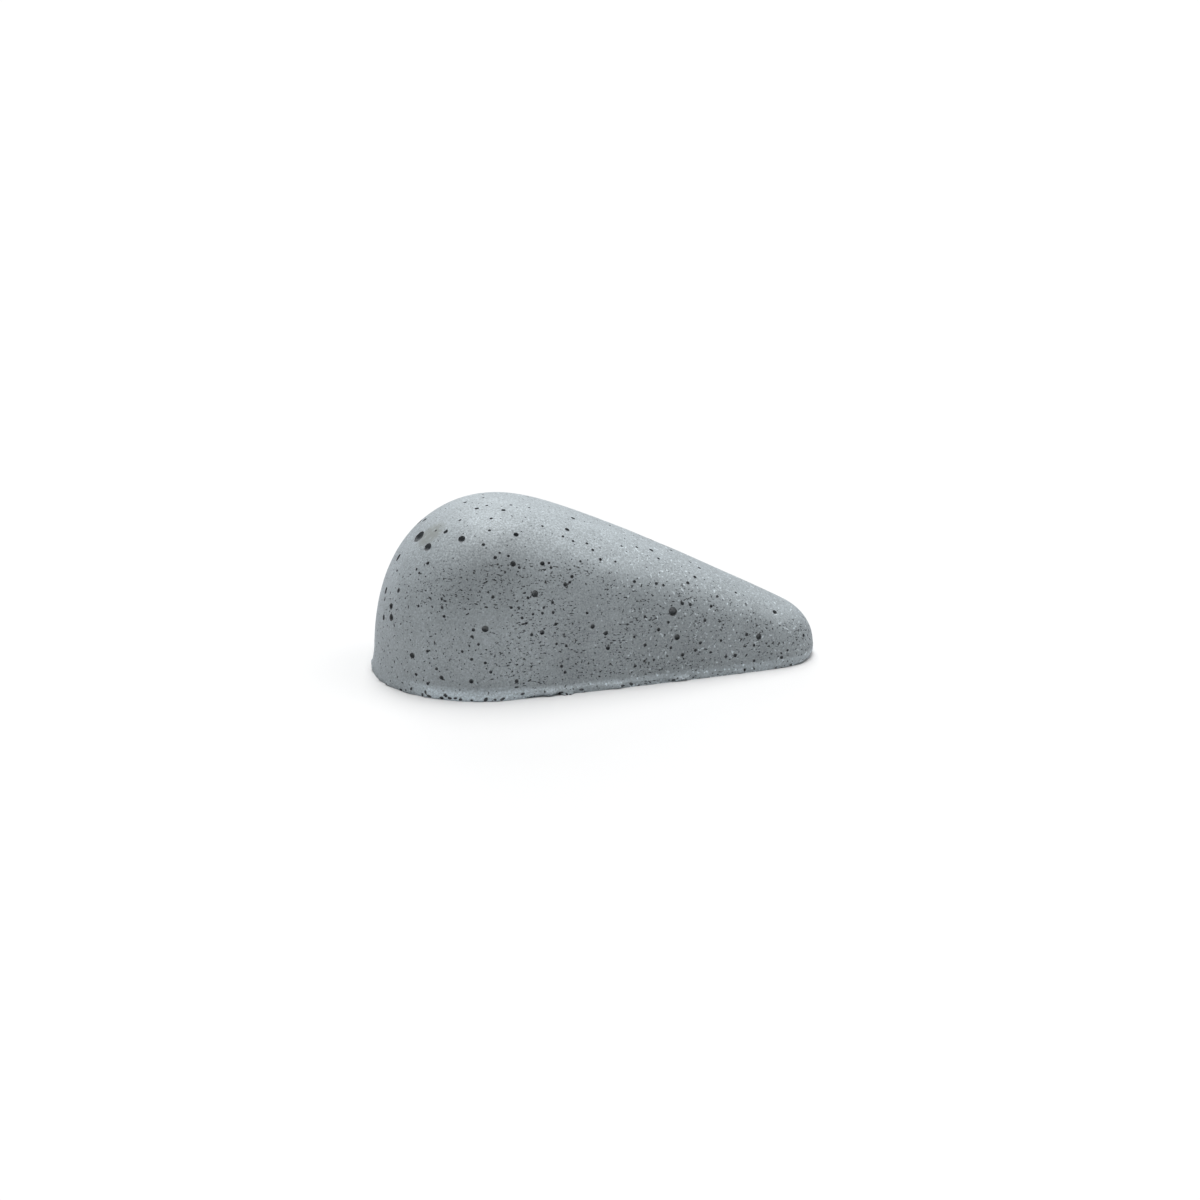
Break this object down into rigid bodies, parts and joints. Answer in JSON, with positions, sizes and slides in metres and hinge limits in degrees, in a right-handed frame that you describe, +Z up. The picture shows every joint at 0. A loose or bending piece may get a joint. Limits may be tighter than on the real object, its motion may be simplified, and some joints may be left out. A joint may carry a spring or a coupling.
{
  "type": "pumice foot stone",
  "caption": "Palm-sized teardrop dome of cast pumice cement, with a smooth pitted skin, a sloping ridge, and a flat rubbing face edged by a thin flared lip.",
  "frame": {"origin": "middle of the box round the stone, on the plane of its flat rubbing face", "axes": "+X along the length towards the narrow tip, +Z up from the flat face to the ridge, -Y the side that faces the viewer with the tip to the right"},
  "size_m": [0.1109, 0.0556, 0.0424],
  "materials": {
    "pumice_cement": "dull, cool grey, smooth mould skin with open air-bubble pits and a crumbly rim"
  },
  "bodies": {
    "root": {"pumice_stone": "pumice_cement"}
  },
  "joints": []
}
